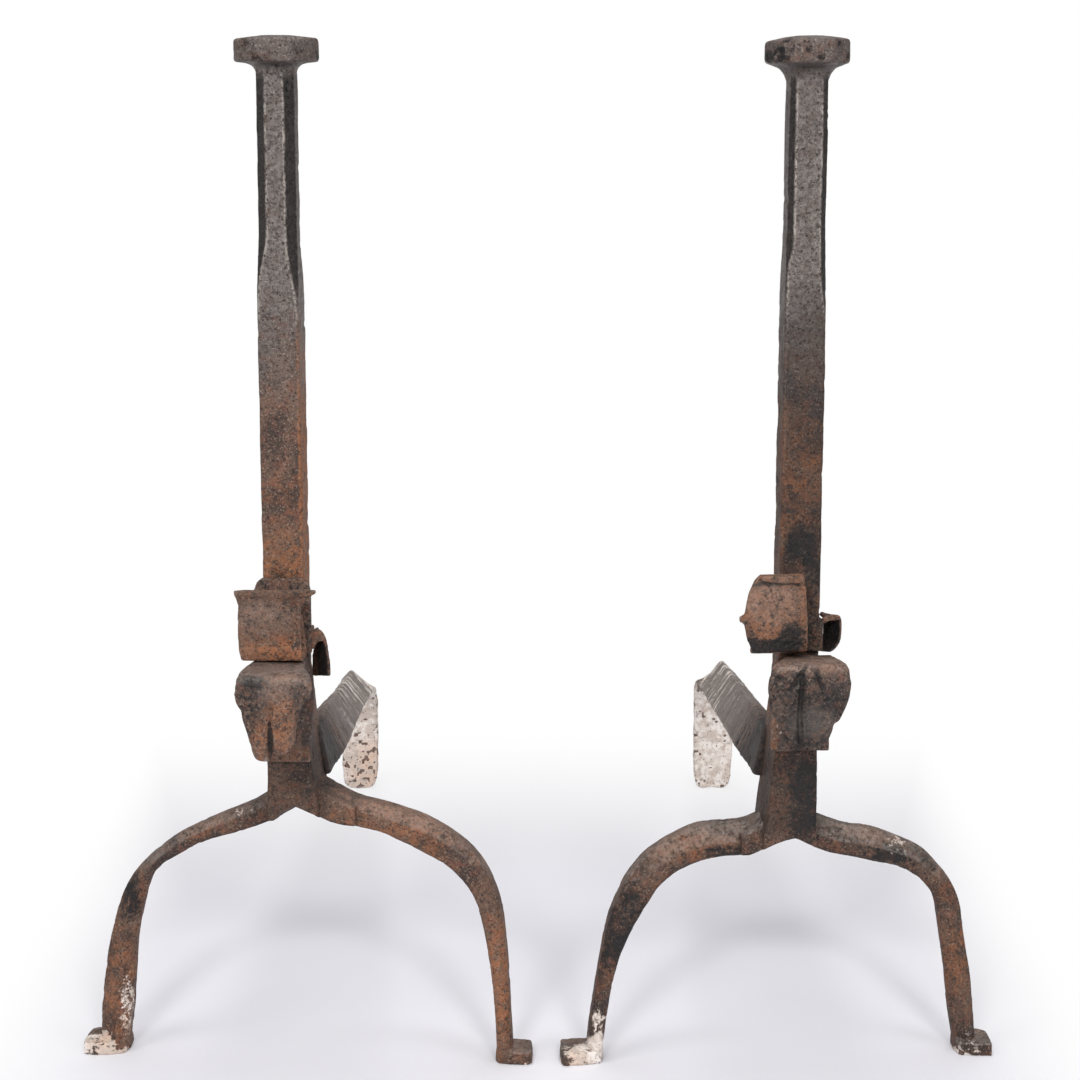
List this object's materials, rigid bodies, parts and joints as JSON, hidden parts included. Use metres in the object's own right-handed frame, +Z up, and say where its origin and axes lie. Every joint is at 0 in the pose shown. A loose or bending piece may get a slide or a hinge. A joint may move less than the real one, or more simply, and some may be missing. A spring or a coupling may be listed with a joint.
{
  "type": "andirons",
  "caption": "Forged iron andirons: tall posts with nail heads, arched legs, leaf hooks, sliding spit cradles and log bars running back to bent-down feet.",
  "frame": {"origin": "centre of the pair's box on the hearth, between the two andirons", "axes": "+Z up, +Y back along the log bars, +X to the right seen from the front"},
  "size_m": [0.5454, 0.6449, 0.6],
  "materials": {
    "post_iron": "dark hammered wrought iron, worn grey at the top and rust brown below",
    "head_iron": "dark grey worn wrought iron",
    "leg_iron": "rust brown hammered wrought iron",
    "bar_iron": "grey burnt wrought iron, limed white at the rear foot",
    "leaf_iron": "sooty wrought iron with orange rust",
    "slider_iron": "orange brown rusted wrought iron",
    "rivet_iron": "dark wrought iron"
  },
  "bodies": {
    "andirons": {"left_post": "post_iron", "left_head": "head_iron", "left_inner_leg": "leg_iron", "left_outer_leg": "leg_iron", "left_log_bar": "bar_iron", "left_leaf_hook": "leaf_iron", "left_strap_rivets": "rivet_iron", "right_post": "post_iron", "right_head": "head_iron", "right_inner_leg": "leg_iron", "right_outer_leg": "leg_iron", "right_log_bar": "bar_iron", "right_leaf_hook": "leaf_iron", "right_strap_rivets": "rivet_iron"},
    "left_slider": {"left_collar": "slider_iron", "left_spit_cradle": "slider_iron", "left_cradle_rivets": "rivet_iron", "left_side_eye": "slider_iron"},
    "right_slider": {"right_collar": "slider_iron", "right_spit_cradle": "slider_iron", "right_cradle_rivets": "rivet_iron", "right_side_eye": "slider_iron"}
  },
  "joints": [
    {"name": "left_cradle_slide", "type": "slide", "parent": "andirons", "child": "left_slider", "axis": [0, 0, 1], "range_m": [0, 0.17]},
    {"name": "right_cradle_slide", "type": "slide", "parent": "andirons", "child": "right_slider", "axis": [0, 0, 1], "range_m": [0, 0.17]}
  ]
}
